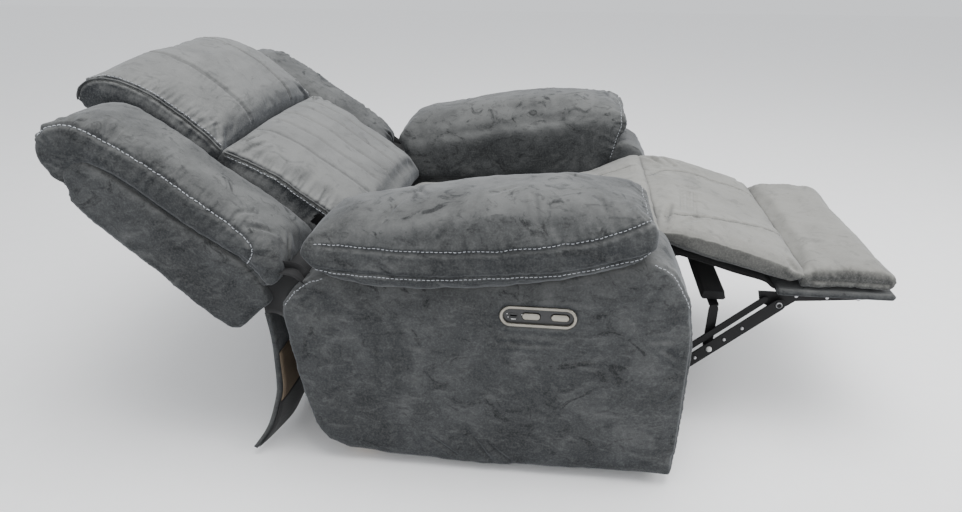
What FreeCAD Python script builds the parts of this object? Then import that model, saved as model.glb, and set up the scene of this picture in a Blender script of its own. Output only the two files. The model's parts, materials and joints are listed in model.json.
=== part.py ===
"""Power recliner armchair, modelled reclined with its footrest out.

+Z is up, -Y is the way the sitter faces and +X is the sitter's left.  Outlines are side views,
as (Y, Z) pairs in millimetres from the chair's own datum, the plane through the footrest drive's
datum line; centre_shift carries that datum to the origin, on the floor under the middle of the
reclined length.
"""
import FreeCAD, Part
import math
import os
import re

import Sketcher

Vector = FreeCAD.Vector

# ---------------------------------------------------------------- driving dimensions
SIZES = {
    # whole chair
    "centre_shift": (23.5, "datum to origin along Y"),
    "arm_outer": (500.0, "outer face of the side panels from the middle"),
    "arm_inner": (290.0, "inner face of the side panels from the middle"),
    "pad_outer": (528.0, "outer edge of the arm pads from the middle"),
    "upholstery": (12.0, "fabric, wadding and card of the side panels"),
    "board": (12.0, "plywood thickness"),
    "cushion_half": (272.0, "half width of the back cushions"),
    "seat_half": (278.0, "half width of seat, chaise and footrest pads"),
    "wing_inner": (297.0, "inner face of the back wings from the middle"),
    "wing_outer": (489.0, "outer face of the back wings from the middle"),
    "back_half": (478.0, "half width of the outside back"),
    # rails of the base
    "front_rail_back": (-393.0, "rear face of the front rail"),
    "rail_thickness": (20.0, "timber rail thickness"),
    "front_rail_bottom": (18.0, "underside of the front rail"),
    "front_rail_height": (44.0, "height of the front rail"),
    "rear_rail_front": (262.0, "front face of the rear rail"),
    "rear_rail_bottom": (150.0, "underside of the rear rail"),
    "rear_rail_height": (70.0, "height of the rear rail"),
    "cap_height": (340.0, "underside of the arm frames' cap boards"),
    "window_play": (4.0, "arm frame window beyond the hand control, all round"),
    # feet
    "foot_radius": (22.0, "foot radius"),
    "foot_height": (26.0, "foot height"),
    "foot_side": (395.0, "foot centres from the middle"),
    "foot_front": (-375.0, "front feet along Y"),
    "foot_rear": (205.0, "rear feet along Y"),
    # seat deck
    "deck_front": (-356.0, "front of the seat deck"),
    "deck_rear": (214.0, "rear of the seat deck"),
    "deck_bottom": (308.0, "underside of the seat rails"),
    "deck_top": (346.0, "top of the seat rails"),
    "deck_rail": (26.0, "seat rail width"),
    "deck_half": (279.5, "outer face of the seat rails from the middle"),
    "spring_wire": (4.0, "sinuous spring wire diameter"),
    "spring_width": (44.0, "sinuous spring width"),
    "spring_pitch": (22.0, "distance between a sinuous spring's bars"),
    # steel mechanism
    "plate": (3.0, "mechanism plate thickness"),
    "link": (4.0, "link thickness"),
    "layer": (6.0, "distance from one link layer to the next"),
    "plate_inner": (280.0, "inner face of the mechanism plates from the middle"),
    "play": (0.06, "radial play of a running pivot"),
    "tube_radius": (10.0, "torque tube radius"),
    "pin_radius": (6.0, "link pin radius"),
    "rod_radius": (5.0, "middle pivot pin radius"),
    "link_width": (24.0, "width of the lower links"),
    "main_width": (26.0, "width of the upper links"),
    "brace_width": (14.0, "width of the brace links"),
    "strap_width": (20.0, "width of the middle board's straps"),
    "crank_width": (26.0, "width of the drive crank"),
    "rivet_radius": (3.5, "link rivet radius"),
    "rivet_height": (1.2, "link rivet head height"),
    "tube_back": (-280.0, "torque tube axis along Y"),
    "tube_height": (290.0, "torque tube axis above the floor"),
    "toe_back": (-655.0, "upper link's footrest pivot along Y"),
    "toe_height": (312.0, "upper link's footrest pivot above the floor"),
    "upper_length": (300.0, "upper link between its pivots"),
    "upper_angle": (42.0, "upper link above the floor, in degrees"),
    "brace_offset": (30.0, "brace pivots from the upper link's pivots"),
    "brace_angle": (15.0, "direction of that offset, in degrees"),
    "middle_part": (0.42, "middle pivot along the upper link"),
    "recline_back": (325.0, "back hinge axis along Y"),
    "recline_height": (455.0, "back hinge axis above the floor"),
    "recline_pin": (8.0, "back hinge pin radius"),
    # drive
    "crank_length": (60.0, "drive crank between its centres"),
    "crank_angle": (127.45, "drive crank below the horizontal, in degrees"),
    "drive_rail_height": (196.0, "drive rail axis above the floor"),
    "drive_rail_radius": (11.0, "drive rail radius"),
    "drive_rail_front": (-345.0, "front end of the drive rail"),
    "motor_front": (40.0, "front of the motor housing"),
    "motor_rear": (126.0, "rear of the motor housing"),
    # hand control
    "control_along": (-157.0, "control centre along Y"),
    "control_height": (377.0, "control centre above the floor"),
    "bezel_length": (145.0, "bezel length"),
    "bezel_height": (44.0, "bezel height"),
    "bezel_rim": (7.0, "bezel rim width"),
    "button_length": (34.0, "button length"),
    "button_height": (14.0, "button height"),
    "button_open": (-13.0, "opening button from the control centre"),
    "button_close": (41.0, "closing button from the control centre"),
    "socket_along": (46.0, "charging socket from the control centre"),
    # footrest and middle board
    "rest_half": (278.0, "half width of the footrest board"),
    "middle_half": (228.0, "half width of the middle board"),
    # outside back
    "skin": (8.0, "outside back panel thickness"),
    "flap_half": (458.0, "half width of the rear flap"),
    "card_margin": (10.0, "rear flap beyond its stiffening card at each side"),
}

# ---------------------------------------------------------------- outlines, side view
ARM_SIDE = [
    (-438, 16), (-447, 214), (-447, 330), (-434, 420), (-404, 477), (-362, 506), (-331, 496),
    (-194, 455), (-50, 436), (43, 428), (137, 429), (222, 440), (254, 446), (295, 432),
    (327, 407), (350, 374), (356, 345), (339, 222), (325, 138), (311, 81), (283, 42),
    (240, 25), (122, 11), (-48, 6), (-213, 12), (-374, 16),
]
ARM_BOARD = [
    (-418, 28), (-424, 300), (-402, 420), (-362, 474), (-190, 432), (43, 404), (220, 414),
    (300, 400), (330, 345), (300, 130), (236, 40),
]
ARM_PAD = [
    (-331, 504), (-194, 463), (-50, 443), (43, 435), (137, 436), (222, 448), (262, 462),
    (284, 488), (268, 522), (242, 546), (201, 564), (152, 576), (74, 592), (-2, 607),
    (-76, 618), (-149, 627), (-221, 630), (-275, 627), (-315, 614), (-350, 588), (-368, 556),
    (-366, 526),
]
SEAT = [
    (-350, 358), (216, 358), (226, 380), (222, 410), (200, 426), (0, 432), (-150, 440), (-265, 456),
    (-330, 472), (-372, 476), (-392, 462), (-392, 420), (-380, 376),
]
SEAT_ROLL = [(-398, 436), (-478, 436), (-500, 438), (-500, 458), (-450, 474), (-406, 480), (-398, 470)]
CHAISE = [
    (-508, 392), (-508, 452), (-560, 443), (-630, 421), (-688, 396), (-688, 366), (-668, 354),
    (-600, 372), (-540, 384),
]
FOOT_PAD = [
    (-696, 356), (-694, 392), (-720, 398), (-790, 400), (-850, 398), (-874, 388), (-879, 374),
    (-872, 356),
]
FOOT_BOARD = [(-646, 338), (-646, 352), (-878, 352), (-881, 346), (-878, 338)]
FOOT_BRACKET = [
    (-612, 337), (-618, 312), (-642, 300), (-662, 298), (-676, 306), (-690, 318), (-742, 322),
    (-830, 330), (-836, 337),
]
MIDDLE_BOARD = [(-502, 300), (-506, 316), (-552, 316), (-556, 300), (-550, 296), (-508, 296)]
HEADREST = [
    (527, 612), (556, 652), (604, 695), (661, 735), (722, 762), (764, 770), (800, 760),
    (828, 738), (834, 706), (812, 682), (744, 650), (660, 588), (592, 532),
]
LUMBAR = [
    (522, 606), (588, 526), (520, 462), (440, 388), (392, 352), (300, 352), (262, 372),
    (256, 436), (300, 494), (364, 548), (440, 594),
]
WING = [
    (752, 578), (775, 612), (788, 652), (782, 688), (762, 712), (726, 730), (676, 728), (622, 700),
    (556, 655), (500, 611), (443, 569), (401, 536), (356, 492), (332, 460), (328, 434), (346, 408),
    (378, 398), (412, 436), (484, 484), (556, 535), (625, 592), (690, 622), (732, 598),
]
BACK_SIDE = [
    (748, 582), (728, 592), (688, 614), (628, 586), (558, 528), (486, 477), (414, 429),
    (380, 392), (366, 358), (388, 345), (430, 305), (444, 296), (459, 298), (511, 345),
    (584, 416), (655, 484), (706, 534),
]
BACK_PANEL = [(444, 291), (450, 285), (741, 570), (735, 576)]
BACK_BOARD = [(404, 356), (398, 384), (470, 470), (560, 560), (640, 628), (716, 668), (742, 640), (736, 606)]
RECLINE_BRACKET = [
    (303, 455), (309, 439), (325, 433), (396, 396), (480, 466), (494, 500), (470, 500),
    (400, 452), (350, 470), (341, 471), (325, 477), (309, 471),
]
MECHANISM = [
    (-304, 270), (-304, 312), (-284, 330), (-240, 341), (180, 341), (262, 352), (300, 440),
    (303, 463), (325, 478), (347, 460), (345, 440), (318, 352), (292, 300), (150, 268),
]
FLAP = [(378, 26), (386, 115), (379, 192), (376, 265), (382, 326), (387, 326), (381, 265),
        (384, 192), (391, 115), (398, 26)]
FLAP_BOARD = [
    (386, 115), (379, 192), (376, 265), (378, 289), (374, 289), (372, 265), (375, 192), (382, 115),
]

doc = FreeCAD.newDocument("recliner_armchair")
sheet = doc.addObject("Spreadsheet::Sheet", "Sizes")
for row, (alias, (value, meaning)) in enumerate(SIZES.items(), start=1):
    sheet.set(f"A{row}", meaning)
    sheet.set(f"B{row}", str(value))
    sheet.setAlias(f"B{row}", alias)
doc.recompute()

SIDES = (("left", 1), ("right", -1))
nodes = []


def size(alias):
    """A dimension's value, for the outlines that are worked out in code."""
    return float(sheet.get(alias))


def bound(text):
    """An expression on the sheet, from one written with the bare names of its cells."""
    return re.sub(r"[a-z][a-z_]{2,}", lambda name: "Sizes." + name.group(0), text)


def place(item, x="0", y="0", z="0"):
    """Bind an object's place; Y is given from the chair's datum."""
    item.setExpression("Placement.Base.x", bound(x))
    item.setExpression("Placement.Base.y", bound(f"{y} + centre_shift"))
    item.setExpression("Placement.Base.z", bound(z))
    return item


def node(item, label):
    """Mark an object as a finished sub-part with the label that names its file."""
    item.Label = label
    nodes.append(item)
    return item


def span(side, low, high):
    """An X span on the sitter's left (+1) or its mirror image on the right (-1)."""
    return (low, high) if side > 0 else (f"-({high})", f"-({low})")


def box(x, y, z, name="Box"):
    """A block between pairs of expressions along each axis."""
    item = doc.addObject("Part::Box", name)
    for axis, (low, high) in zip(("Length", "Width", "Height"), (x, y, z)):
        item.setExpression(axis, bound(f"({high}) - ({low})"))
    return place(item, x[0], y[0], z[0])


def bar(radius, x, y, z, name="Bar"):
    """A round bar along X."""
    item = doc.addObject("Part::Cylinder", name)
    item.setExpression("Radius", bound(radius))
    item.setExpression("Height", bound(f"({x[1]}) - ({x[0]})"))
    item.Placement.Rotation = FreeCAD.Rotation(Vector(0, 1, 0), 90)
    return place(item, x[0], y, z)


def upright(radius, height, x, y, z, name="Upright"):
    """A round bar along Z."""
    item = doc.addObject("Part::Cylinder", name)
    item.setExpression("Radius", bound(radius))
    item.setExpression("Height", bound(height))
    return place(item, x, y, z)


def lengthwise(radius, x, y, z, name="Lengthwise"):
    """A round bar along Y."""
    item = doc.addObject("Part::Cylinder", name)
    item.setExpression("Radius", bound(radius))
    item.setExpression("Height", bound(f"({y[1]}) - ({y[0]})"))
    item.Placement.Rotation = FreeCAD.Rotation(Vector(1, 0, 0), -90)
    return place(item, x, y[0], z)


def side_sketch(body):
    """A sketch in the side view plane, its own X along Y and its own Y along Z."""
    plane = [f for f in body.Origin.OriginFeatures if f.Role == "YZ_Plane"][0]
    sketch = body.newObject("Sketcher::SketchObject", "SideView")
    sketch.AttachmentSupport = [(plane, "")]
    sketch.MapMode = "FlatFace"
    return sketch


def hole(sketch, y, z, radius):
    """A round hole in a side view, its radius bound to the sheet."""
    centre = Vector(y, z, 0)
    circle = sketch.addGeometry(Part.Circle(centre, Vector(0, 0, 1), 1.0))
    constraint = sketch.addConstraint(Sketcher.Constraint("Radius", circle, 1.0))
    sketch.setExpression(f"Constraints[{constraint}]", bound(radius))


def pad_sketch(body, sketch, x):
    """Pad a side view over an X span."""
    pad = body.newObject("PartDesign::Pad", "Pad")
    pad.Profile = sketch
    pad.setExpression("Length", bound(f"({x[1]}) - ({x[0]})"))
    return place(body, x[0])


def prism(outline, x, holes=(), name="Prism"):
    """A straight sided plate or block from its side view outline."""
    body = doc.addObject("PartDesign::Body", name)
    sketch = side_sketch(body)
    for here, there in zip(outline, outline[1:] + outline[:1]):
        sketch.addGeometry(Part.LineSegment(Vector(*here, 0), Vector(*there, 0)))
    for y, z, radius in holes:
        hole(sketch, y, z, radius)
    return pad_sketch(body, sketch, x)


def stadium(length, height, x, along=0.0, name="Stadium"):
    """A block with round ends, lying along Y at the hand control."""
    body = doc.addObject("PartDesign::Body", name)
    sketch = side_sketch(body)
    unit = Vector(0, 0, 1)
    radius = height / 2
    reach = length / 2 - radius
    quarter = math.pi / 2
    for y, start in ((reach, -quarter), (-reach, quarter)):
        circle = Part.Circle(Vector(y, 0, 0), unit, radius)
        sketch.addGeometry(Part.ArcOfCircle(circle, start, start + 2 * quarter))
    for z in (radius, -radius):
        sketch.addGeometry(Part.LineSegment(Vector(-reach, z, 0), Vector(reach, z, 0)))
    pad_sketch(body, sketch, x)
    return place(body, x[0], f"control_along + ({along})", "control_height")


def cut(base, *tools, name="Cut"):
    """Take tools out of a base, one after another."""
    for tool in tools:
        item = doc.addObject("Part::Cut", name)
        item.Base = base
        item.Tool = tool
        base = item
    return base


def join(*items, name="Joined"):
    """Fuse touching pieces into one solid."""
    item = doc.addObject("Part::MultiFuse", name)
    item.Shapes = list(items)
    return item


def group(*items, name="Group"):
    """Keep separate solids together as one sub-part."""
    item = doc.addObject("Part::Compound", name)
    item.Links = list(items)
    return item


def inset(outline, distance):
    """An outline moved inwards, every edge staying parallel to itself."""
    area = sum(a[0] * b[1] - b[0] * a[1] for a, b in zip(outline, outline[1:] + outline[:1]))
    turn = 1 if area > 0 else -1
    moved = []
    for index, (y, z) in enumerate(outline):
        before = outline[index - 1]
        after = outline[(index + 1) % len(outline)]
        first = math.atan2(z - before[1], y - before[0]) + turn * math.pi / 2
        second = math.atan2(after[1] - z, after[0] - y) + turn * math.pi / 2
        middle = math.atan2(math.sin(first) + math.sin(second), math.cos(first) + math.cos(second))
        reach = distance / max(math.cos(middle - first), 0.5)
        moved.append((y + reach * math.cos(middle), z + reach * math.sin(middle)))
    return moved


def pillow(label, outline, low, high, rounding):
    """A soft block: its side view outline runs along X and shrinks towards both ends."""
    steps = 3
    sections = []
    for end, sense in ((low, 1), (high, -1)):
        rim = []
        for step in range(steps):
            turn = math.pi / 2 * step / (steps - 1)
            depth = rounding * (1 - math.cos(turn))
            x = end + sense * depth
            points = [Vector(x, y, z) for y, z in inset(outline, rounding * (1 - math.sin(turn)) * 0.8)]
            rim.append(Part.makePolygon(points + points[:1]))
        sections += rim if sense > 0 else rim[::-1]
    item = doc.addObject("Part::Feature", "Pillow")
    item.Shape = Part.makeLoft(sections, True, True)
    place(item)
    return node(item, label)


def turned(radius, degrees):
    """A (Y, Z) step of a given length and direction."""
    angle = math.radians(degrees)
    return (radius * math.cos(angle), radius * math.sin(angle))


def bar_outline(start, end, width):
    """A link's side view: two round ends, drawn as short chords, round a straight middle."""
    chords = 6
    along = math.degrees(math.atan2(end[1] - start[1], end[0] - start[0]))
    outline = []
    for centre, first in ((end, along - 90), (start, along + 90)):
        for chord in range(chords + 1):
            step = turned(width / 2, first + 180 * chord / chords)
            outline.append((centre[0] + step[0], centre[1] + step[1]))
    return outline


# ---------------------------------------------------------------- arms, rails and feet
def side_panel(label, side):
    wall = "upholstery"
    outer = prism(ARM_SIDE, span(side, "arm_inner", "arm_outer"))
    hollow = span(side, f"arm_inner + {wall}", f"arm_outer - {wall}")
    cavity = prism(inset(ARM_SIDE, size(wall)), hollow)
    mouth = box(hollow, ("-424", "236"), ("-5", "36"))
    tools = [cavity, mouth]
    if side < 0:
        cutout = size("bezel_length") - 5, size("bezel_height") - 5
        tools.append(stadium(*cutout, ("-arm_outer - 1", f"-arm_outer + {wall} + 1")))
    return node(cut(outer, *tools), label)


def arm_frame(label, side):
    inner = prism(ARM_BOARD, span(side, "arm_inner + upholstery + 0.5", "arm_inner + upholstery + board"))
    outer = prism(ARM_BOARD, span(side, "arm_outer - upholstery - board", "arm_outer - upholstery - 0.5"))
    middle = span(side, "arm_inner + upholstery + board", "arm_outer - upholstery - board")
    cap = box(middle, ("-340", "200"), ("cap_height", "cap_height + board"))
    sole = box(middle, ("-410", "230"), ("foot_height", "foot_height + board"))
    frame = join(inner, outer, cap, sole)
    if side < 0:
        beyond = "bezel_length / 2 + window_play", "bezel_height / 2 + window_play"
        length = f"control_along - ({beyond[0]})", f"control_along + {beyond[0]}"
        height = f"control_height - ({beyond[1]})", f"control_height + {beyond[1]}"
        window = box(("-arm_outer", "-arm_outer + upholstery + board + 2"), length, height)
        frame = cut(frame, window)
    return node(frame, label)


for word, side in SIDES:
    side_panel(f"{word}_side_panel", side)
    arm_frame(f"{word}_arm_frame", side)
    reach = sorted((side * size("arm_inner"), side * size("pad_outer")))
    pillow(f"{word}_arm_pad", ARM_PAD, *reach, 40)

width = ("-arm_inner", "arm_inner")
front_rail = box(
    width,
    ("front_rail_back - rail_thickness", "front_rail_back"),
    ("front_rail_bottom", "front_rail_bottom + front_rail_height"),
)
node(front_rail, "front_rail")
rear_rail = box(
    width,
    ("rear_rail_front", "rear_rail_front + rail_thickness"),
    ("rear_rail_bottom", "rear_rail_bottom + rear_rail_height"),
)
node(rear_rail, "rear_rail")
feet = [
    upright("foot_radius", "foot_height", f"{side} * foot_side", along, "0")
    for word, side in SIDES
    for along in ("foot_front", "foot_rear")
]
node(group(*feet), "feet")


# ---------------------------------------------------------------- seat deck, springs and cushion
def sinuous_wire(middle):
    """One sinuous spring: cross bars joined by half turns, from the front rail to the rear one."""
    pitch, wide = size("spring_pitch"), size("spring_width")
    height = size("deck_top") + size("spring_wire") / 2
    start, stop = size("deck_front") + 6, size("deck_rear") - 6
    turns = int((stop - start) / pitch)
    edges = []
    for index in range(turns):
        y = start + index * pitch
        side = 1 if index % 2 else -1
        bow = Vector(middle + side * (wide + pitch) / 2, y + pitch / 2, height)
        here = Vector(middle + side * wide / 2, y, height)
        there = Vector(middle + side * wide / 2, y + pitch, height)
        edges.append(Part.Arc(here, bow, there).toShape())
        if index < turns - 1:
            edges.append(Part.makeLine(there, Vector(middle - side * wide / 2, y + pitch, height)))
    path = Part.Wire(edges)
    first = Vector(middle - size("spring_width") / 2, start, height)
    circle = Part.Wire([Part.makeCircle(size("spring_wire") / 2, first, Vector(1, 0, 0))])
    return path.makePipeShell([circle], True, True)


inner = "deck_half - deck_rail"
for word, side in SIDES:
    rail = box(span(side, inner, "deck_half"), ("deck_front", "deck_rear"), ("deck_bottom", "deck_top"))
    node(rail, f"seat_{word}_rail")
for word, along in (
    ("front", ("deck_front", "deck_front + deck_rail")),
    ("rear", ("deck_rear - deck_rail", "deck_rear")),
):
    rail = box((f"-({inner})", inner), along, ("deck_bottom", "deck_top"))
    node(rail, f"seat_{word}_rail")

springs = doc.addObject("Part::Feature", "Springs")
springs.Shape = Part.makeCompound([sinuous_wire(x) for x in (-180, -90, 0, 90, 180)])
node(place(springs), "seat_springs")
half = size("seat_half")
pillow("seat_cushion", SEAT, -half, half, 18)
pillow("seat_front_roll", SEAT_ROLL, -half, half, 8)

# ---------------------------------------------------------------- pivots of the footrest linkage
tube = (size("tube_back"), size("tube_height"))
toe = (size("toe_back"), size("toe_height"))
step = turned(size("upper_length"), 180 - size("upper_angle"))
knee = (toe[0] - step[0], toe[1] - step[1])
offset = turned(size("brace_offset"), size("brace_angle"))
brace_knee = (knee[0] + offset[0], knee[1] + offset[1])
brace_toe = (toe[0] + offset[0], toe[1] + offset[1])
part_way = size("middle_part")
middle = (knee[0] + part_way * (toe[0] - knee[0]), knee[1] + part_way * (toe[1] - knee[1]))
hinge = (size("recline_back"), size("recline_height"))
crank_step = turned(size("crank_length"), -size("crank_angle"))
crank_pin = (tube[0] + crank_step[0], tube[1] + crank_step[1])


def layer(number):
    """The X span of a link layer, counted inwards from the mechanism plate."""
    low = f"plate_inner - {number} * layer"
    return low, f"{low} + link"


def at(point):
    """A point's Y and Z as expression texts."""
    return f"{point[0]:.4f}", f"{point[1]:.4f}"


def mechanism_plate(label, side):
    plate = ("plate_inner", "plate_inner + plate")
    body = prism(MECHANISM, span(side, *plate), holes=[(*tube, "tube_radius + play")])
    bosses = [
        bar("recline_pin", span(side, "plate_inner + plate - 0.5", "arm_inner"), *at(point))
        for point in ((-200, 310), (0, 310), (160, 310))
    ]
    pin = bar("recline_pin", span(side, "plate_inner - layer - 0.5", "plate_inner + 0.5"), *at(hinge))
    return node(join(body, pin, *bosses), label)


for word, side in SIDES:
    mechanism_plate(f"{word}_mechanism_plate", side)

    arm = prism(bar_outline(tube, knee, size("link_width")), span(side, *layer(1)))
    ear = prism(bar_outline(knee, brace_knee, size("link_width")), span(side, *layer(1)))
    reach = span(side, "plate_inner - layer - 1", "plate_inner")
    pivots = (("tube_radius", tube), ("pin_radius + play", knee), ("rod_radius + play", brace_knee))
    bores = [bar(radius, reach, *at(pivot)) for radius, pivot in pivots]
    node(cut(join(arm, ear), *bores), f"{word}_lower_link")

    outline = bar_outline(knee, toe, size("main_width"))
    upper = prism(outline, span(side, *layer(2)), holes=[(*middle, "rod_radius")])
    root = "plate_inner - layer * 2 + link - 0.5"
    stud = bar("pin_radius", span(side, root, "plate_inner - 2"), *at(knee))
    end_stud = bar("rod_radius", span(side, root, "plate_inner - 5"), *at(toe))
    node(join(upper, stud, end_stud), f"{word}_upper_link")

    brace = prism(bar_outline(brace_knee, brace_toe, size("brace_width")), span(side, *layer(3)))
    root = "plate_inner - layer * 3 + link - 0.5"
    stud = bar("rod_radius", span(side, root, "plate_inner - 2"), *at(brace_knee))
    node(join(brace, stud), f"{word}_brace_link")

    node(prism(FOOT_BRACKET, span(side, *layer(4))), f"{word}_footrest_bracket")

    top = (middle[0] - 2, MIDDLE_BOARD[-1][1] - 10)
    outline = bar_outline(middle, top, size("strap_width"))
    strap = prism(outline, span(side, *layer(5)), holes=[(*middle, "rod_radius + play")])
    tab = box(
        span(side, "middle_half - 20", "plate_inner - 5 * layer + 0.5"),
        (f"{top[0] - 10}", f"{top[0] + 10}"),
        ("292", "296"),
    )
    node(join(strap, tab), f"{word}_middle_bracket")

tube_reach = "plate_inner + plate + 2"
node(bar("tube_radius", (f"-({tube_reach})", tube_reach), *at(tube)), "torque_tube")
pin_reach = ("plate_inner - 5 * layer - 2", "plate_inner - 2 * layer + link")
pins = [bar("rod_radius", span(side, *pin_reach), *at(middle)) for word, side in SIDES]
node(group(*pins), "middle_pivot_pins")
rivet_foot = "plate_inner - 2 * layer + link"
rivets = [
    bar("rivet_radius", span(side, rivet_foot, f"{rivet_foot} + rivet_height"), *at(point))
    for word, side in SIDES
    for point in [
        (knee[0] + share * (toe[0] - knee[0]), knee[1] + share * (toe[1] - knee[1]))
        for share in (0.3, 0.55, 0.7)
    ]
]
node(group(*rivets), "link_rivets")
node(prism(MIDDLE_BOARD, ("-middle_half", "middle_half")), "middle_board")

# ---------------------------------------------------------------- drive
crank = prism(bar_outline(tube, crank_pin, size("crank_width")), ("-5", "5"), holes=[(*tube, "tube_radius")])
pin = bar("pin_radius", ("-18", "18"), *at(crank_pin))
node(join(crank, pin), "drive_crank")

slot = (crank_pin[0] - 8, crank_pin[0] + 8)
cheeks = [
    box(x, (f"{crank_pin[0] - 22}", f"{crank_pin[0] + 22}"), ("drive_rail_height - 22", "262"))
    for x in (("-15", "-8"), ("8", "15"))
]
saddle = box(
    ("-8", "8"),
    (f"{crank_pin[0] - 22}", f"{crank_pin[0] + 22}"),
    ("drive_rail_height - 22", "drive_rail_height + 15"),
)
bore_reach = ("drive_rail_front - 60", "motor_front")
rail_bore = lengthwise("drive_rail_radius + play", "0", bore_reach, "drive_rail_height")
window = box(("-30", "30"), (f"{slot[0]}", f"{slot[1]}"), ("217", "254"))
node(cut(join(*cheeks, saddle), rail_bore, window), "drive_fork")
node(
    lengthwise("drive_rail_radius", "0", ("drive_rail_front", "motor_front"), "drive_rail_height"),
    "drive_rail",
)
axis = "drive_rail_height"
gear_case = box(("-26", "26"), ("motor_front", "motor_rear"), (f"{axis} - 30", f"{axis} + 26"))
motor_can = upright("24", "92", "0", "(motor_front + motor_rear) / 2", f"{axis} - 120")
clevis = box(("-9", "9"), ("motor_rear - 1", "rear_rail_front"), (f"{axis} - 14", f"{axis} + 14"))
inlet = box(("25", "40"), ("motor_front + 20", "motor_front + 44"), (f"{axis} - 18", f"{axis} - 2"))
node(join(gear_case, motor_can, clevis, inlet), "drive_motor")

# ---------------------------------------------------------------- hand control in the right side panel
skin = "-arm_outer"
bezel = (size("bezel_length"), size("bezel_height"))
button = (size("button_length"), size("button_height"))


def control_stadium(outline, growth, start, stop, along=0.0):
    """A stadium grown or shrunk all round, between two depths into the side panel."""
    return stadium(
        outline[0] + growth, outline[1] + growth, (f"{skin} + ({start})", f"{skin} + ({stop})"), along
    )


inside = -2 * size("bezel_rim")
rim = control_stadium(bezel, 0, -3, 0)
throat = control_stadium(bezel, -6, -0.5, 14)
node(cut(join(rim, throat), control_stadium(bezel, inside, -5, 16)), "control_bezel")

keys = (("close_button", -size("button_close")), ("open_button", -size("button_open")))
face = control_stadium(bezel, inside, 2, 5)
keyholes = [control_stadium(button, 2, 1, 6, along) for label, along in keys]
port = (
    "control_along + socket_along - 8.5",
    "control_along + socket_along + 8.5",
)
port_hole = box((f"{skin} + 1", f"{skin} + 6"), port, ("control_height - 5.5", "control_height + 5.5"))
node(cut(face, *keyholes, port_hole), "control_face")

for label, along in keys:
    cap = control_stadium(button, 0, -1, 6, along)
    flange = control_stadium(button, 6, 5.5, 8, along)
    node(join(cap, flange), label)

shell = box(
    (f"{skin} + 2", f"{skin} + 14"),
    ("control_along + socket_along - 8", "control_along + socket_along + 8"),
    ("control_height - 5", "control_height + 5"),
)
well = box(
    (f"{skin} + 1", f"{skin} + 12"),
    ("control_along + socket_along - 6.2", "control_along + socket_along + 6.2"),
    ("control_height - 2.4", "control_height + 2.4"),
)
tongue = box(
    (f"{skin} + 3.5", f"{skin} + 12.5"),
    ("control_along + socket_along - 5.4", "control_along + socket_along + 5.4"),
    ("control_height + 0.2", "control_height + 2"),
)
node(join(cut(shell, well), tongue), "charging_socket")

# ---------------------------------------------------------------- footrest and chaise
node(prism(FOOT_BOARD, ("-rest_half", "rest_half")), "footrest_board")
pillow("footrest_pad", FOOT_PAD, -half, half, 10)
pillow("chaise_pad", CHAISE, -half, half, 12)

# ---------------------------------------------------------------- back
half = size("cushion_half")
pillow("headrest_cushion", HEADREST, -half, half, 22)
pillow("lumbar_cushion", LUMBAR, -half, half, 22)
for word, side in SIDES:
    reach = sorted((side * size("wing_inner"), side * size("wing_outer")))
    pillow(f"{word}_back_wing", WING, *reach, 26)
    node(prism(BACK_SIDE, span(side, "back_half - skin", "back_half")), f"{word}_back_side")
    node(prism(BACK_BOARD, span(side, "plate_inner - 1", "wing_inner - 1")), f"{word}_back_board")
    bracket = prism(
        RECLINE_BRACKET,
        span(side, "plate_inner - 5", "plate_inner - 1"),
        holes=[(*hinge, "recline_pin + play")],
    )
    node(bracket, f"{word}_recline_bracket")
node(prism(BACK_PANEL, ("-(back_half - skin)", "back_half - skin")), "outside_back")


def back_rail(label, foot, depth, height):
    """A timber rail across the back, its section tilted with the outside back."""
    tilt = 45
    section = [foot]
    for reach, direction in ((depth, tilt + 90), (height, tilt), (depth, tilt - 90)):
        step = turned(reach, direction)
        section.append((section[-1][0] + step[0], section[-1][1] + step[1]))
    return node(prism(section, ("-(plate_inner - 1)", "plate_inner - 1")), label)


back_rail("back_top_rail", (706, 570), 20, 44)
back_rail("back_bottom_rail", (440, 306), 20, 44)
webbing = [
    prism([(466, 366), (464, 368), (684, 588), (686, 586)], (f"{x} - 25", f"{x} + 25"))
    for x in (-180, -60, 60, 180)
]
node(group(*webbing), "back_webbing")
node(prism(FLAP, ("-flap_half", "flap_half")), "rear_flap")
node(prism(FLAP_BOARD, ("-flap_half + card_margin", "flap_half - card_margin")), "flap_board")

# ---------------------------------------------------------------- checks and export
doc.recompute()
for item in doc.Objects:
    if "Invalid" in item.State or "Error" in item.State:
        raise RuntimeError(f"{item.Name} ({item.Label}) did not compute")
for item in nodes:
    if item.Shape.isNull() or not item.Shape.isValid():
        raise RuntimeError(f"{item.Label} has no valid shape")
os.makedirs("parts", exist_ok=True)
for item in nodes:
    item.Shape.exportStep(f"parts/{item.Label}.step")
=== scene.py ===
import json
import math

import bmesh
import bpy
import numpy as np
from mathutils import Matrix, Vector
from mathutils.bvhtree import BVHTree
from mathutils.kdtree import KDTree


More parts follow.
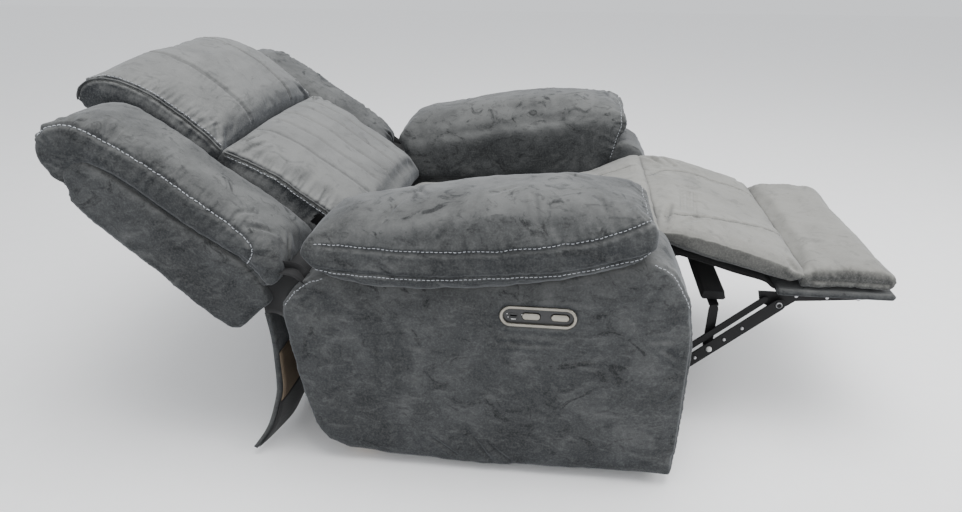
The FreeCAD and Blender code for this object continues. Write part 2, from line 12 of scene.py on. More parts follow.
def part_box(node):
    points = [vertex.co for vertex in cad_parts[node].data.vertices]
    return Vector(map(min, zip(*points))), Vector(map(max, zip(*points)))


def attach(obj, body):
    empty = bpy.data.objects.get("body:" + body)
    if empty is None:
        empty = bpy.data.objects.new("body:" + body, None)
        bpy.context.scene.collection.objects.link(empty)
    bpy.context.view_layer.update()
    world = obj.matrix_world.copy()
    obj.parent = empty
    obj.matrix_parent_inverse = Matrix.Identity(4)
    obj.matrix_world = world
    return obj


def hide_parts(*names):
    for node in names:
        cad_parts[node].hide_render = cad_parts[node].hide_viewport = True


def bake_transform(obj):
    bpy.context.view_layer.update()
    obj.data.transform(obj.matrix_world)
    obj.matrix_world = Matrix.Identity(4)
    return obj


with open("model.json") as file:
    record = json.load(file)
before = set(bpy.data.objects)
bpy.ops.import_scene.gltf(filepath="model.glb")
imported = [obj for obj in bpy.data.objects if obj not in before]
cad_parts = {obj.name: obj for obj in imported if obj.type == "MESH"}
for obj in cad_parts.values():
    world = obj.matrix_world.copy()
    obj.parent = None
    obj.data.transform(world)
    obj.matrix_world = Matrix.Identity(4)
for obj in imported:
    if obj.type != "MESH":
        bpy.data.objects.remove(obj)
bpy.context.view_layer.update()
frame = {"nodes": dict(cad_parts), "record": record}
MM = 0.001
JOINTS = {joint["name"]: joint for joint in frame["record"]["behaviour"]["joints"]}
# Side view points are (Y, Z) in millimetres from the chair's datum, 325 mm in front of the back hinge.
HINGE_FROM_DATUM = 325 * MM
DATUM = JOINTS["back_recline"]["pos_m"][1] - HINGE_FROM_DATUM
CLOTH_FRAMES = 20
COVER_CLOTH = {
    "quality": 4,
    "mass": 0.3,
    "tension_stiffness": 12,
    "compression_stiffness": 8,
    "shear_stiffness": 4,
    "bending_stiffness": 0.6,
    "use_pressure": True,
    "uniform_pressure_force": 4.0,
}
LINING_THICKNESS = 1.2 * MM
# Painted shade and painted light for the suede: the darker colour for faces turned sideways, the lighter
# colour for faces turned up.
PAINTED_SHADE_SIDE, PAINTED_LIGHT_TOP = (0.024, 0.0262, 0.0285), (0.114, 0.116, 0.114)


def at(x, y, z):
    """A point from its place across the chair and its side view place, in millimetres."""
    return Vector((x * MM, y * MM + DATUM, z * MM))


# ------------------------------------------------------------------ materials
class Nodes:
    """A short way to write a node material."""

    def __init__(self, name):
        self.material = bpy.data.materials.new(name)
        self.material.use_nodes = True
        self.tree = self.material.node_tree
        self.shader = self.tree.nodes["Principled BSDF"]
        self.place = self.add("ShaderNodeTexCoord").outputs["Object"]

    def add(self, kind, **settings):
        item = self.tree.nodes.new(kind)
        for key, value in settings.items():
            setattr(item, key, value)
        return item

    def put(self, value, socket):
        """Link an output to a socket, or set the socket to a constant."""
        if hasattr(value, "links"):
            self.tree.links.new(value, socket)
        else:
            socket.default_value = value

    def fill(self, item, **values):
        for key, value in values.items():
            self.put(value, item.inputs[key.replace("_", " ")])

    def set(self, **values):
        self.fill(self.shader, **values)

    def stretched(self, x, y, z):
        """Object coordinates scaled along each axis."""
        mapping = self.add("ShaderNodeMapping")
        self.fill(mapping, Scale=(x, y, z), Vector=self.place)
        return mapping.outputs["Vector"]

    def noise(self, scale, detail=3.0, rough=0.55, place=None, distortion=0.0):
        item = self.add("ShaderNodeTexNoise")
        self.fill(item, Scale=scale, Detail=detail, Roughness=rough, Distortion=distortion)
        self.fill(item, Vector=place or self.place)
        return item.outputs["Fac"]

    def ramp(self, source, low, high, start=0.0, stop=1.0):
        item = self.add("ShaderNodeMapRange")
        self.fill(item, Value=source, From_Min=low, From_Max=high, To_Min=start, To_Max=stop)
        return item.outputs["Result"]

    def multiply(self, *factors):
        item = self.add("ShaderNodeMath", operation="MULTIPLY")
        for socket, factor in zip(item.inputs, factors):
            self.put(factor, socket)
        return item.outputs["Value"]

    def mix(self, factor, first, second):
        """Blend two colours; each value is a socket or a constant."""
        item = self.add("ShaderNodeMix", data_type="RGBA")
        for number, value in ((0, factor), (6, first), (7, second)):
            self.put((*value, 1.0) if isinstance(value, tuple) else value, item.inputs[number])
        return item.outputs[2]

    def bump(self, layers):
        """Stack bump layers of (height, distance in metres, strength)."""
        normal = None
        for height, distance, strength in layers:
            item = self.add("ShaderNodeBump")
            self.fill(item, Distance=distance, Strength=strength, Height=height)
            if normal:
                self.fill(item, Normal=normal)
            normal = item.outputs["Normal"]
        self.set(Normal=normal)


def scaled(color, factor):
    return tuple(c * factor for c in color)


def suede(name, side=PAINTED_SHADE_SIDE, top=PAINTED_LIGHT_TOP, marks=1.0, turn=(-0.15, 0.95)):
    """Brushed microfibre: a nap that lies in cloudy patches, with darker finger marks and fine grain. The
    base colour is painted light: it runs from the darker side colour on faces turned sideways to the
    lighter top colour on faces turned up.
    """
    m = Nodes(name)
    geometry = m.add("ShaderNodeNewGeometry")
    split = m.add("ShaderNodeSeparateXYZ")
    m.fill(split, Vector=geometry.outputs["Normal"])
    # Painted light: each face's colour runs from the side colour to the top colour as its normal turns up,
    # over the range in turn.
    painted_light_mask = m.ramp(split.outputs["Z"], *turn)
    color = m.mix(painted_light_mask, side, top)
    dark = scaled(side, 0.35)
    clouds = m.noise(6.0, 4.0, 0.6, distortion=0.8)
    smudges = m.noise(15.0, 6.0, 0.66, place=m.stretched(1.0, 1.0, 1.5), distortion=1.6)
    strokes = m.noise(46.0, 4.0, 0.6, place=m.stretched(1.0, 0.6, 1.3), distortion=1.0)
    grain = m.noise(260.0, 4.0, 0.7)
    fibres = m.noise(700.0, 2.0, 0.6, place=m.stretched(1.0, 0.35, 1.0))
    for field, low, high, strength, tint in (
        (clouds, 0.40, 0.68, 0.45 * marks, dark),
        (clouds, 0.48, 0.30, 0.16 * marks, top),
        (smudges, 0.56, 0.66, 0.60 * marks, dark),
        (smudges, 0.46, 0.34, 0.15 * marks, scaled(top, 1.15)),
        (strokes, 0.56, 0.68, 0.35 * marks, dark),
        (strokes, 0.44, 0.32, 0.14 * marks, scaled(top, 1.2)),
        (grain, 0.45, 0.72, 0.22, scaled(top, 1.4)),
    ):
        color = m.mix(m.ramp(field, low, high, 0.0, strength), color, tint)
    m.set(Base_Color=color, Roughness=0.93, Specular_IOR_Level=0.18)
    m.set(Sheen_Weight=0.22, Sheen_Roughness=0.45, Sheen_Tint=(0.75, 0.78, 0.82, 1.0))
    layers = (smudges, 0.004, 0.20), (strokes, 0.002, 0.25), (grain, 0.0010, 0.25), (fibres, 0.0004, 0.35)
    m.bump(layers)
    return m.material


def metal(name, color, rough, brushed=0.0):
    """Plain or brushed metal with faint smears."""
    m = Nodes(name)
    smears = m.noise(30.0, 3.0, 0.6)
    lines = m.noise(900.0, 1.0, 0.5, place=m.stretched(1.0, 0.06, 1.0))
    tone = m.mix(m.ramp(smears, 0.3, 0.7, 0.0, 0.35), color, scaled(color, 0.7))
    m.set(Base_Color=tone, Metallic=1.0, Roughness=m.ramp(smears, 0.2, 0.8, rough * 0.8, rough * 1.25))
    m.bump([(lines, 0.0002, 0.1 + brushed)])
    return m.material


def coated(name, color, rough, grain_scale=500.0, strength=0.2, shine=0.5):
    """Powder coat or moulded plastic with a fine texture."""
    m = Nodes(name)
    dust = m.noise(18.0, 4.0, 0.6)
    grain = m.noise(grain_scale, 2.0, 0.5)
    tone = m.mix(m.ramp(dust, 0.45, 0.8, 0.0, 0.4), color, tuple(min(1.0, c * 1.9 + 0.01) for c in color))
    roughness = m.ramp(dust, 0.2, 0.8, rough * 0.85, min(1.0, rough * 1.2))
    m.set(Base_Color=tone, Roughness=roughness, Specular_IOR_Level=shine)
    m.bump([(grain, 0.0004, strength)])
    return m.material


def timber(name, light, dark, scale=30.0):
    """Sawn timber or card: long streaks and fine pores."""
    m = Nodes(name)
    streaks = m.noise(scale, 5.0, 0.6, place=m.stretched(1.0, 0.12, 1.0), distortion=0.4)
    pores = m.noise(400.0, 2.0, 0.5, place=m.stretched(1.0, 0.1, 1.0))
    m.set(Base_Color=m.mix(m.ramp(streaks, 0.3, 0.7), light, dark), Roughness=0.75)
    m.bump([(streaks, 0.0008, 0.2), (pores, 0.0003, 0.2)])
    return m.material


def woven(name, color, scale=1400.0):
    """Black lining or webbing: a close weave of two crossed sets of threads."""
    m = Nodes(name)
    waves = []
    for direction in ("X", "Y"):
        wave = m.add("ShaderNodeTexWave", bands_direction=direction)
        m.fill(wave, Scale=scale / 6.0, Distortion=0.6, Vector=m.place)
        waves.append(wave.outputs["Fac"])
    weave = m.multiply(*waves)
    patch = m.noise(9.0, 3.0, 0.6)
    tone = m.mix(m.ramp(patch, 0.3, 0.7, 0.0, 0.7), color, tuple(c * 1.8 + 0.004 for c in color))
    m.set(Base_Color=tone, Roughness=0.9, Sheen_Weight=0.1)
    m.bump([(weave, 0.0004, 0.25), (patch, 0.003, 0.3)])
    return m.material


# Lighter copy of the same suede for the seat, chaise and footrest: painted light, warmer on the tops.
SUEDE_LEGS_PAINTED_LIGHTER = suede("charcoal suede, legs, painted lighter", (0.045, 0.046, 0.045), (0.222, 0.219, 0.202), 0.45)
# Copy of the same suede for the headrest and lumbar: painted shade makes its sides darker and painted light
# makes its tops lighter.
SUEDE_BACK_PAINTED_LIGHT_SHADE = suede(
    "charcoal suede, back, painted light and shade", (0.020, 0.022, 0.025), (0.162, 0.164, 0.160), marks=0.55, turn=(0.10, 0.85)
)
# The main suede keeps the painted shade on its sides and the painted light on its tops.
SUEDE = suede("charcoal suede", marks=1.3)
THREAD = coated("light grey thread", (0.33, 0.345, 0.37), 0.6, 1500.0, 0.4)
DULL_THREAD = coated("grey thread", (0.13, 0.135, 0.14), 0.7, 1500.0, 0.4)
FINE_STITCH = {"material": DULL_THREAD, "pitch": 0.006, "length": 0.004, "radius": 0.0005}
STEEL = coated("black powder coat", (0.004, 0.004, 0.0045), 0.55, shine=0.22)
ZINC = metal("zinc plate", (0.42, 0.42, 0.43), 0.38)
CHAMPAGNE = metal("satin champagne", (0.29, 0.275, 0.24), 0.34, 0.15)
BLACK_PLASTIC = coated("black plastic", (0.010, 0.010, 0.011), 0.35)
TIMBER = timber("plywood", (0.50, 0.36, 0.22), (0.32, 0.21, 0.12))
CARD = timber("brown card", (0.14, 0.105, 0.07), (0.10, 0.073, 0.048), 14.0)
LINING = woven("black lining", (0.006, 0.006, 0.0065))
WEBBING = woven("webbing", (0.10, 0.10, 0.10), 900.0)
BY_SLOT = {
    "upholstery": SUEDE,
    "lining": LINING,
    "timber": TIMBER,
    "card": CARD,
    "painted_steel": STEEL,
    "bright_steel": ZINC,
    "champagne_metal": CHAMPAGNE,
    "black_plastic": BLACK_PLASTIC,
    "webbing": WEBBING,
}
for part in frame["record"]["subparts"]:
    piece = frame["nodes"][part["node"]]
    piece.data.materials.clear()
    piece.data.materials.append(BY_SLOT[part["material_slot"]])


# ------------------------------------------------------------------ mesh tools
def new_piece(name, vertices, faces, material, smooth=True):
    mesh = bpy.data.meshes.new(name)
    mesh.from_pydata([tuple(v) for v in vertices], [], faces)
    mesh.materials.append(material)
    mesh.polygons.foreach_set("use_smooth", [smooth] * len(mesh.polygons))
    mesh.update()
    piece = bpy.data.objects.new(name, mesh)
    bpy.context.scene.collection.objects.link(piece)
    return piece


def settle(piece):
    """Apply every modifier of a piece."""
    graph = bpy.context.evaluated_depsgraph_get()
    graph.update()
    mesh = bpy.data.meshes.new_from_object(piece.evaluated_get(graph))
    piece.modifiers.clear()
    old = piece.data
    piece.data = mesh
    bpy.data.meshes.remove(old)
    return piece


def coordinates(piece, key="co"):
    values = np.empty(len(piece.data.vertices) * 3)
    piece.data.vertices.foreach_get(key, values)
    return values.reshape(-1, 3)


def normals(piece):
    return coordinates(piece, "normal")


def move_to(piece, points):
    piece.data.vertices.foreach_set("co", np.ascontiguousarray(points).ravel())
    piece.data.update()


def modify(piece, kind, **settings):
    """Add one modifier and apply it."""
    modifier = piece.modifiers.new(kind, kind)
    for key, value in settings.items():
        setattr(modifier, key, value)
    return settle(piece)


def thicken(piece, thickness):
    """Give a sheet its thickness, half to each side."""
    return modify(piece, "SOLIDIFY", thickness=thickness, offset=0)


def grid_faces(rows, columns):
    faces = []
    for row in range(rows - 1):
        for column in range(columns - 1):
            corner = row * columns + column
            faces.append((corner, corner + 1, corner + columns + 1, corner + columns))
    return faces


def remesh(piece, voxel):
    return modify(piece, "REMESH", mode="VOXEL", voxel_size=voxel, use_smooth_shade=True)


def relax(piece, rounds):
    return modify(piece, "SMOOTH", iterations=rounds, factor=0.5)


def refine(piece):
    return modify(piece, "SUBSURF", levels=1, render_levels=1)


def inflate(piece, cap):
    """Blow a closed cover up like a filled cushion, with no point moving further than cap."""
    before = coordinates(piece)
    modifier = piece.modifiers.new("Cloth", "CLOTH")
    for key, value in COVER_CLOTH.items():
        setattr(modifier.settings, key, value)
    modifier.settings.effector_weights.gravity = 0
    modifier.collision_settings.use_collision = False
    modifier.point_cache.frame_start = 1
    modifier.point_cache.frame_end = CLOTH_FRAMES
    for number in range(1, CLOTH_FRAMES + 1):
        bpy.context.scene.frame_set(number)
    settle(piece)
    bpy.context.scene.frame_set(1)
    shift = coordinates(piece) - before
    length = np.linalg.norm(shift, axis=1, keepdims=True)
    limit = np.tanh(length / cap) * cap / np.maximum(length, 1e-9)
    move_to(piece, before + shift * limit)


def surface(piece):
    graph = bpy.context.evaluated_depsgraph_get()
    graph.update()
    return BVHTree.FromObject(piece, graph)


def smooth_line(points, step=0.003):
    """A line of even steps along a Catmull-Rom curve through the points."""
    points = [Vector(p) for p in points]
    last = len(points) - 1
    fine = []
    for index in range(last):
        a, b, c, d = (points[min(max(index + k, 0), last)] for k in (-1, 0, 1, 2))
        bend = 2 * a - 5 * b + 4 * c - d
        twist = 3 * b - a - 3 * c + d
        for t in np.linspace(0, 1, 24, endpoint=False):
            fine.append(0.5 * (2 * b + (c - a) * t + bend * t**2 + twist * t**3))
    fine.append(points[last])
    lengths = np.cumsum([0.0] + [(q - p).length for p, q in zip(fine, fine[1:])])
    total = lengths[-1]
    wanted = np.linspace(0, total, max(2, int(total / step)) + 1)
    array = np.array([tuple(p) for p in fine])
    return np.stack([np.interp(wanted, lengths, array[:, k]) for k in range(3)], axis=1)


def arc_lengths(path):
    """The distance along a line to each of its points."""
    return np.concatenate([[0.0], np.cumsum(np.linalg.norm(np.diff(path, axis=0), axis=1))])


def on_surface(tree, line, facing=None):
    """Where a line meets the surface, and the normals there.

    Each point goes to the nearest place, or straight down along its facing where one is given.
    """
    found = []
    for index, point in enumerate(line):
        hit = (None, None)
        if facing is not None:
            out = Vector(facing[index])
            hit = tree.ray_cast(Vector(point) + out * 0.015, -out, 0.03)[:2]
        found.append(hit if hit[0] else tree.find_nearest(Vector(point))[:2])
    return np.array([tuple(f[0]) for f in found]), np.array([tuple(f[1]) for f in found])


def ripple(values, seed):
    """Smooth seeded waves of mixed length between -1 and 1, for gathers along a seam."""
    maker = np.random.default_rng(seed)
    total = np.zeros_like(values)
    for wavelength, weight in ((0.052, 0.5), (0.031, 0.8), (0.019, 1.0), (0.012, 0.6)):
        phase = maker.uniform(0, 2 * math.pi)
        drift = maker.uniform(0.05, 0.09)
        bend = 2.0 * np.sin(values / drift * 2 * math.pi)
        total += weight * np.sin(2 * math.pi * values / wavelength + phase + bend)
    return total / 2.4


def near_line(points, path, limit):
    """Numbers of the points inside the line's box, widened by limit."""
    low, high = path.min(axis=0) - limit, path.max(axis=0) + limit
    return np.nonzero(np.all((points > low) & (points < high), axis=1))[0]


def sew(piece, line, depth=0.004, width=0.005, gather=0.0, reach=0.03, ridge=0.0, seed=1, fade=0.03):
    """Sink a seam into a piece and gather the cover beside it.  Returns the seam's line and normals."""
    path, out = on_surface(surface(piece), line)
    tree = KDTree(len(path))
    for index, point in enumerate(path):
        tree.insert(point, index)
    tree.balance()
    arc = arc_lengths(path)
    points = coordinates(piece)
    faces = normals(piece)
    limit = reach * 2.5 if gather else width * 4
    near = near_line(points, path, limit)
    distance = np.full(len(near), 1.0)
    along = np.zeros(len(near))
    for slot, index in enumerate(near):
        _, number, gap = tree.find(points[index])
        if gap < limit and np.dot(out[number], faces[index]) > -0.2:
            distance[slot] = gap
            along[slot] = arc[number]
    ends = np.clip(np.minimum(along, arc[-1] - along) / max(fade, 1e-4), 0, 1) if fade else 1.0
    shift = -depth * np.exp(-((distance / width) ** 2))
    if ridge:
        shift += ridge * np.exp(-(((distance - width * 1.7) / width) ** 2))
    shift = shift * ends
    if gather:
        swell = np.exp(-distance / reach) * (1 - np.exp(-((distance / width) ** 2)))
        shift += gather * swell * (ripple(along + distance * 0.15, seed) - 0.35)
    points[near] += faces[near] * shift[:, None]
    move_to(piece, points)
    return path, out


def dent(piece, centre, radius, depth, seed=0):
    """A soft hollow, uneven at its edge."""
    points = coordinates(piece)
    faces = normals(piece)
    gap = np.linalg.norm(points - np.array(centre), axis=1)
    wobble = 1 + 0.25 * np.sin(points[:, 1] * 70 + seed) * np.cos(points[:, 0] * 60 + seed * 2)
    points -= faces * (depth * np.exp(-((gap * wobble / radius) ** 2)))[:, None]
    move_to(piece, points)


def waves(seed, points, sizes, squeeze=(1.0, 1.0, 1.0)):
    """Seeded soft noise in space, built from a few dozen plane waves per size."""
    maker = np.random.default_rng(seed)
    total = np.zeros(len(points))
    for size, weight in sizes:
        field = np.zeros(len(points))
        for _ in range(14):
            direction = maker.normal(size=3) * squeeze
            direction *= 2 * math.pi / size / max(np.linalg.norm(direction), 1e-6) * maker.uniform(0.7, 1.3)
            field += np.sin(points @ direction + maker.uniform(0, 2 * math.pi))
        total += weight * field / math.sqrt(14)
    return total


def rumple(piece, seed, amount, sizes=((0.16, 1.0), (0.07, 0.5), (0.03, 0.2)), squeeze=(1.0, 1.0, 1.0)):
    """Uneven filling: broad soft lumps and shallow creases."""
    points = coordinates(piece)
    shift = waves(seed, points, sizes, squeeze)
    move_to(piece, points + normals(piece) * (amount * shift)[:, None])


def crease(piece, start, stop, depth, width, seed=0):
    """One soft fold in the cover, deepest in its middle."""
    tree = surface(piece)
    bend = Vector((0, 0, 0.004 * math.sin(seed * 2.1)))
    middle = (Vector(start) + Vector(stop)) / 2 + bend
    path, out = on_surface(tree, smooth_line([start, middle, stop], 0.003))
    points = coordinates(piece)
    faces = normals(piece)
    near = near_line(points, path, width * 4)
    gaps = np.linalg.norm(points[near][:, None, :] - path[None, :, :], axis=2)
    number = gaps.argmin(axis=1)
    gap = gaps.min(axis=1)
    strength = np.sin(math.pi * (number + 0.5) / len(path)) ** 0.7
    lip = 0.55 * np.exp(-(((gap - width * 1.4) / width) ** 2))
    shift = depth * strength * (lip - np.exp(-((gap / width) ** 2)))
    points[near] += faces[near] * shift[:, None]
    move_to(piece, points)


def creases(piece, folds, width=0.006):
    for number, (start, stop, depth) in enumerate(folds):
        crease(piece, at(*start), at(*stop), depth, width, number)


def ring_faces(rings, count, outward=True):
    """The faces between rings of points, all with the same count."""
    faces = []
    for ring in range(rings - 1):
        for index in range(count):
            here, there = ring * count + index, ring * count + (index + 1) % count
            face = (here, there, there + count, here + count)
            faces.append(face if outward else face[::-1])
    return faces


def tube_along(path, radius, sides):
    """Vertices and faces of a round cord along a line."""
    last = len(path) - 1
    vertices = []
    for index in range(last + 1):
        forward = Vector(path[min(index + 1, last)] - path[max(index - 1, 0)]).normalized()
        across = forward.cross(Vector((0.3, 0.2, 1.0))).normalized()
        up = across.cross(forward)
        for side in range(sides):
            angle = 2 * math.pi * side / sides
            outward = across * math.cos(angle) + up * math.sin(angle)
            vertices.append(Vector(path[index]) + outward * radius)
    caps = [tuple(range(sides))[::-1], tuple(last * sides + side for side in range(sides))]
    return vertices, ring_faces(last + 1, sides) + caps


def assign(piece, body, slot, *nodes):
    """Say which body a piece rides on and hide the nodes that it replaces; slot is not used."""
    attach(piece, body)
    if nodes:
        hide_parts(*nodes)


def stitches(
    name, path, out, body, material=THREAD, pitch=0.0085, length=0.0056, radius=0.0008, lift=0.0007
):
    """A row of short thread loops that dip into the cover at both ends."""
    arc = arc_lengths(path)
    vertices, faces = [], []
    for start in np.arange(pitch, arc[-1] - pitch, pitch):
        places = start + length * np.array([0.0, 0.2, 0.5, 0.8, 1.0])
        heights = lift * np.array([-1.2, 0.7, 1.0, 0.7, -1.2])
        line = np.stack([np.interp(places, arc, path[:, k]) for k in range(3)], axis=1)
        raised = np.stack([np.interp(places, arc, out[:, k]) for k in range(3)], axis=1)
        more, rings = tube_along(line + raised * heights[:, None], radius, 6)
        faces += [tuple(number + len(vertices) for number in ring) for ring in rings]
        vertices += more
    piece = new_piece(name, vertices, faces, material)
    if body:
        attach(piece, body)
    return piece


def welt(name, path, body, radius):
    """A covered cord sewn into a seam."""
    assign(new_piece(name, *tube_along(path, radius, 10), SUEDE), body, "upholstery")


def beside(path, out, distance):
    """A line kept a little to one side of a seam, on the surface."""
    forward = np.gradient(path, axis=0)
    forward /= np.maximum(np.linalg.norm(forward, axis=1, keepdims=True), 1e-9)
    across = np.cross(out, forward)
    across /= np.maximum(np.linalg.norm(across, axis=1, keepdims=True), 1e-9)
    return path + across * distance


def stitch_row(name, piece, path, out, distance, body, **style):
    line, facing = on_surface(surface(piece), beside(path, out, distance), out)
    return stitches(name, line, facing, body, **style)


def mirrored(piece, name):
    """The same piece on the chair's other side."""
    twin = piece.copy()
    twin.data = piece.data.copy()
    twin.name = name
    twin.data.transform(Matrix.Scale(-1, 4, (1, 0, 0)))
    twin.data.flip_normals()
    bpy.context.scene.collection.objects.link(twin)
    return twin


def twin_row(row, name, body):
    """The same row of stitches on the chair's other side."""
    assign(mirrored(row, name), body, "upholstery")


def finish_soft(piece, body, nodes, slot="upholstery"):
    assign(piece, body, slot, *nodes)


def block(name, outline, low, high, material=SUEDE):
    """A closed straight block across the chair from a side view outline."""
    area = sum(a[0] * b[1] - b[0] * a[1] for a, b in zip(outline, outline[1:] + outline[:1]))
    ring = list(outline) if area > 0 else list(outline)[::-1]
    count = len(ring)
    vertices = [at(x, y, z) for x in (low, high) for y, z in ring]
    faces = [tuple(range(count))[::-1], tuple(range(count, 2 * count))]
    for here in range(count):
        there = (here + 1) % count
        faces.append((here, there, there + count, here + count))
    return new_piece(name, vertices, faces, material)


def upholstered(name, outline, low, high, voxel, rounds, swell, shrink, material=SUEDE, finer=True):
    """A padded block with rounded edges; swell is the most that its filling may push it out."""
    piece = block(name, outline, low, high, material)
    remesh(piece, voxel)
    relax(piece, rounds)
    move_to(piece, coordinates(piece) - normals(piece) * shrink)
    if swell:
        inflate(piece, swell)
        relax(piece, 2)
    return refine(piece) if finer else piece


def crown(piece, toward, middle, half, heights, power=2.2):
    """Raise the middle of a cushion's face above its side edges.  Heights are (Y, height) pairs."""
    points = coordinates(piece)
    direction = np.array(Vector(toward).normalized())
    facing = np.clip(normals(piece) @ direction, 0, 1)
    across = 1 - np.clip(np.abs(points[:, 0] - middle * MM) / (half * MM), 0, 1) ** power
    along, height = zip(*heights)
    rise = np.interp((points[:, 1] - DATUM) / MM, along, height) * MM
    move_to(piece, points + direction * (rise * across * facing)[:, None])
    return piece


def sink(piece, toward, depths):
    """Push a piece back by (Y, depth) pairs."""
    points = coordinates(piece)
    along, depth = zip(*depths)
    shift = np.interp((points[:, 1] - DATUM) / MM, along, depth) * MM
    move_to(piece, points - np.array(Vector(toward).normalized()) * shift[:, None])


def line_at(x, points, step=0.003):
    return smooth_line([at(x, y, z) for y, z in points], step)


# ------------------------------------------------------------------ arm pads
ARM_PAD = [
    (-331, 502), (-194, 461), (-50, 441), (43, 433), (137, 434), (222, 446), (270, 459), (296, 486),
    (284, 504), (248, 512), (201, 520), (152, 530), (74, 547), (-2, 564), (-76, 575), (-149, 584),
    (-221, 588), (-275, 588), (-318, 588), (-350, 580), (-368, 558), (-366, 528),
]
ARM_PAD_INSIDE = [
    (-262, 384), (-330, 450), (-354, 520), (-350, 566), (-240, 574), (0, 552), (200, 512), (280, 488),
    (266, 372), (0, 372),
]

ARM_PAD_CROWN = [(-372, 0), (-320, 3), (-250, 15), (-150, 22), (0, 27), (110, 29), (200, 32), (270, 19)]
ARM_PAD_FOLDS = [
    ((-505, -262, 585), (-470, -255, 622), 0.004),
    ((-508, -300, 590), (-470, -320, 618), 0.005),
    ((-505, -150, 560), (-470, -140, 612), 0.0035),
    ((-510, 20, 520), (-490, 0, 560), 0.004),
    ((-505, 130, 540), (-440, 100, 578), 0.003),
    ((-400, -240, 632), (-350, -180, 628), 0.003),
    ((-450, 60, 600), (-380, 90, 592), 0.003),
    ((-470, -60, 612), (-440, -110, 622), 0.003),
]


def joined(*pieces):
    """Overlapping pieces made into one mesh."""
    mesh = bmesh.new()
    for piece in pieces:
        mesh.from_mesh(piece.data)
    mesh.to_mesh(pieces[0].data)
    mesh.free()
    for piece in pieces[1:]:
        bpy.data.objects.remove(piece)
    return pieces[0]


def arm_pads():
    cover = joined(
        block("right_arm_pad_cover", ARM_PAD, -530, -290),
        block("arm_pad_inside", ARM_PAD_INSIDE, -330, -284),
    )
    remesh(cover, 0.0075)
    relax(cover, 6)
    inflate(cover, 0.010)
    relax(cover, 2)
    crown(cover, (0, 0, 1), -412, 116, ARM_PAD_CROWN)
    relax(cover, 5)
    refine(cover)
    rumple(cover, 5, 0.0011, ((0.15, 1.0), (0.07, 0.6), (0.028, 0.22)))
    side = [(262, 510), (223, 510), (130, 505), (57, 506), (-51, 514), (-122, 523), (-191, 534)]
    side += [(-259, 550), (-324, 575)]
    front = [(-512, -358, 592), (-480, -368, 600), (-410, -372, 602), (-340, -368, 598)]
    front += [(-300, -352, 585), (-284, -350, 540), (-282, -336, 480), (-284, -318, 448)]
    upper = [(-526, y, z) for y, z in side] + front
    side = [(262, 470), (199, 460), (96, 460), (-51, 469)]
    side += [(-123, 477), (-193, 487), (-262, 502), (-329, 520)]
    front = [(-512, -364, 530), (-480, -368, 534), (-410, -368, 536), (-340, -368, 534), (-300, -356, 530)]
    lower = [(-526, y, z) for y, z in side] + front
    rows = []
    for number, (points, gather) in enumerate(((upper, 0.0032), (lower, 0.0014))):
        line = smooth_line([at(*point) for point in points])
        rows.append(sew(cover, line, 0.0042, 0.0042, gather, reach=0.022, ridge=0.0012, seed=11 + number))
    creases(cover, ARM_PAD_FOLDS)
    dent(cover, at(-300, -130, 560), radius=0.04, depth=0.008, seed=3)
    twin = mirrored(cover, "left_arm_pad_cover")
    for side, piece in (("right", cover), ("left", twin)):
        finish_soft(piece, "base", [f"{side}_arm_pad"])
    for number, (path, out) in enumerate(rows):
        side = -0.0042 if number else 0.0042
        row = stitch_row(f"right_arm_pad_stitches_{number}", cover, path, out, side, "base", radius=0.0007)
        twin_row(row, f"left_arm_pad_stitches_{number}", "base")


# ------------------------------------------------------------------ side panels
ARM_SIDE = [
    (-446, 16), (-455, 214), (-455, 330), (-440, 424), (-408, 482), (-364, 508), (-331, 500),
    (-194, 462), (-50, 442), (43, 434), (137, 435), (222, 446), (254, 446), (295, 432),
    (327, 407), (350, 374), (356, 345), (339, 222), (325, 138), (311, 81), (283, 42),
    (240, 25), (122, 11), (-48, 6), (-213, 12), (-374, 16),
]
ARM_SIDE_FOLDS = [
    ((60, 90), (-10, 30), 0.0035), ((-20, 110), (-75, 20), 0.0045), ((-60, 85), (-120, 22), 0.0035),
    ((245, 300), (250, 420), 0.002), ((-420, 300), (-380, 330), 0.003), ((-425, 230), (-400, 200), 0.003),
    ((-80, 320), (-190, 318), 0.003), ((-95, 345), (-120, 300), 0.0025), ((90, 300), (60, 296), 0.002),
    ((-405, 345), (-360, 338), 0.0025), ((300, 370), (270, 400), 0.003), ((160, 290), (150, 280), 0.003),
]
BEZEL_Y, BEZEL_Z = -157, 377
BEZEL_LENGTH, BEZEL_HEIGHT, BEZEL_RIM = 145, 44, 7


def outside_stadium(points, length, height):
    """How far points lie outside a stadium at the hand control, in metres; negative is inside."""
    y = (points[:, 1] - DATUM) / MM - BEZEL_Y
    z = points[:, 2] / MM - BEZEL_Z
    reach = (length - height) / 2
    y = np.maximum(np.abs(y) - reach, 0)
    return (np.hypot(y, z) - height / 2) * MM


